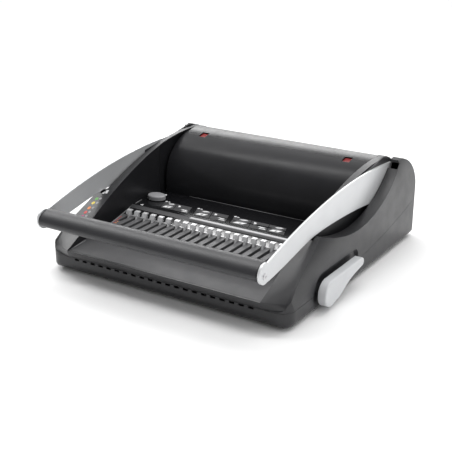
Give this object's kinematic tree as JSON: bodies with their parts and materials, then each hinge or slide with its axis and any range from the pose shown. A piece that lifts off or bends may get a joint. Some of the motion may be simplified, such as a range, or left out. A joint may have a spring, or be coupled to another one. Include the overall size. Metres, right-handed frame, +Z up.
{
  "type": "comb binding machine",
  "caption": "Desktop machine that punches paper with a pull-down bar handle and opens plastic combs on a row of hooks with a side lever.",
  "frame": {"origin": "Desk level, in the middle plane, midway between the front feet and the rear feet.", "axes": "X points to the machine's right as the user sits in front of it, Y points away from the user to the back, Z points up from the desk."},
  "size_m": [0.4037, 0.45, 0.1459],
  "materials": {
    "body_plastic": "satin dark grey moulded plastic",
    "panel_plastic": "matte mid grey moulded plastic",
    "gloss_black": "glossy black plastic",
    "pale_plastic": "pale grey plastic",
    "silver_plastic": "silver grey plastic",
    "bar_plastic": "satin dark grey plastic",
    "red_plastic": "red plastic",
    "silver_paint": "silver painted steel",
    "dark_steel": "black coated steel",
    "plain_steel": "plain steel",
    "bright_steel": "bright plated steel",
    "bush_brass": "sintered bearing metal",
    "foot_rubber": "black rubber"
  },
  "bodies": {
    "frame": {"base_shell": "body_plastic", "upper_housing": "body_plastic", "front_panel": "panel_plastic", "deck_plate": "gloss_black", "comb_block": "panel_plastic", "comb_bed": "gloss_black", "comb_tines": "bright_steel", "comb_rail": "pale_plastic", "comb_bearings": "gloss_black", "punch_cover": "body_plastic", "side_frame_left": "plain_steel", "side_frame_right": "plain_steel", "shaft_bushes": "bush_brass", "die_plate": "plain_steel", "guide_plate": "plain_steel", "rubber_feet": "foot_rubber", "base_screws": "plain_steel"},
    "handle": {"handle_shaft": "plain_steel", "arm_core_left": "dark_steel", "arm_core_right": "dark_steel", "arm_left": "silver_paint", "arm_right": "silver_paint", "handle_bar": "bar_plastic", "bar_end_plugs": "bar_plastic", "bar_screws": "bright_steel", "punch_pinions": "plain_steel"},
    "punch_carriage": {"pressure_bar": "plain_steel", "punch_racks": "plain_steel", "punch_pins": "plain_steel"},
    "comb_drive": {"comb_lever": "silver_plastic", "comb_shaft": "plain_steel", "comb_pinions": "plain_steel"},
    "hook_carriage": {"hook_plate": "bright_steel", "comb_racks": "plain_steel"},
    "edge_stop": {"edge_guide": "gloss_black", "edge_guide_knob": "silver_plastic"},
    "tray": {"chip_tray": "gloss_black"},
    "catch_left": {"release_catch_left": "red_plastic"},
    "catch_right": {"release_catch_right": "red_plastic"}
  },
  "joints": [
    {"name": "handle_hinge", "type": "hinge", "parent": "frame", "child": "handle", "pos_m": [0, 0.133, 0.1], "axis": [-1, 0, 0], "range_deg": [0, 65]},
    {"name": "punch_slide", "type": "slide", "parent": "frame", "child": "punch_carriage", "axis": [0, 1, 0], "range_m": [0, 0.014]},
    {"name": "comb_lever_hinge", "type": "hinge", "parent": "frame", "child": "comb_drive", "pos_m": [0.2, -0.1, 0.024], "axis": [1, 0, 0], "range_deg": [0, 90]},
    {"name": "hook_slide", "type": "slide", "parent": "frame", "child": "hook_carriage", "axis": [0, -1, 0], "range_m": [0, 0.019]},
    {"name": "edge_stop_slide", "type": "slide", "parent": "frame", "child": "edge_stop", "axis": [1, 0, 0], "range_m": [0, 0.01]},
    {"name": "tray_slide", "type": "slide", "parent": "frame", "child": "tray", "axis": [0, 1, 0], "range_m": [0, 0.15]},
    {"name": "catch_left_press", "type": "slide", "parent": "frame", "child": "catch_left", "axis": [0, 0, -1], "range_m": [0, 0.0025], "stiffness_N_per_m": 400},
    {"name": "catch_right_press", "type": "slide", "parent": "frame", "child": "catch_right", "axis": [0, 0, -1], "range_m": [0, 0.0025], "stiffness_N_per_m": 400}
  ],
  "couplings": [
    {"joint": "punch_slide", "follows": "handle_hinge", "m_per_rad": 0.012},
    {"joint": "hook_slide", "follows": "comb_lever_hinge", "m_per_rad": 0.012}
  ]
}
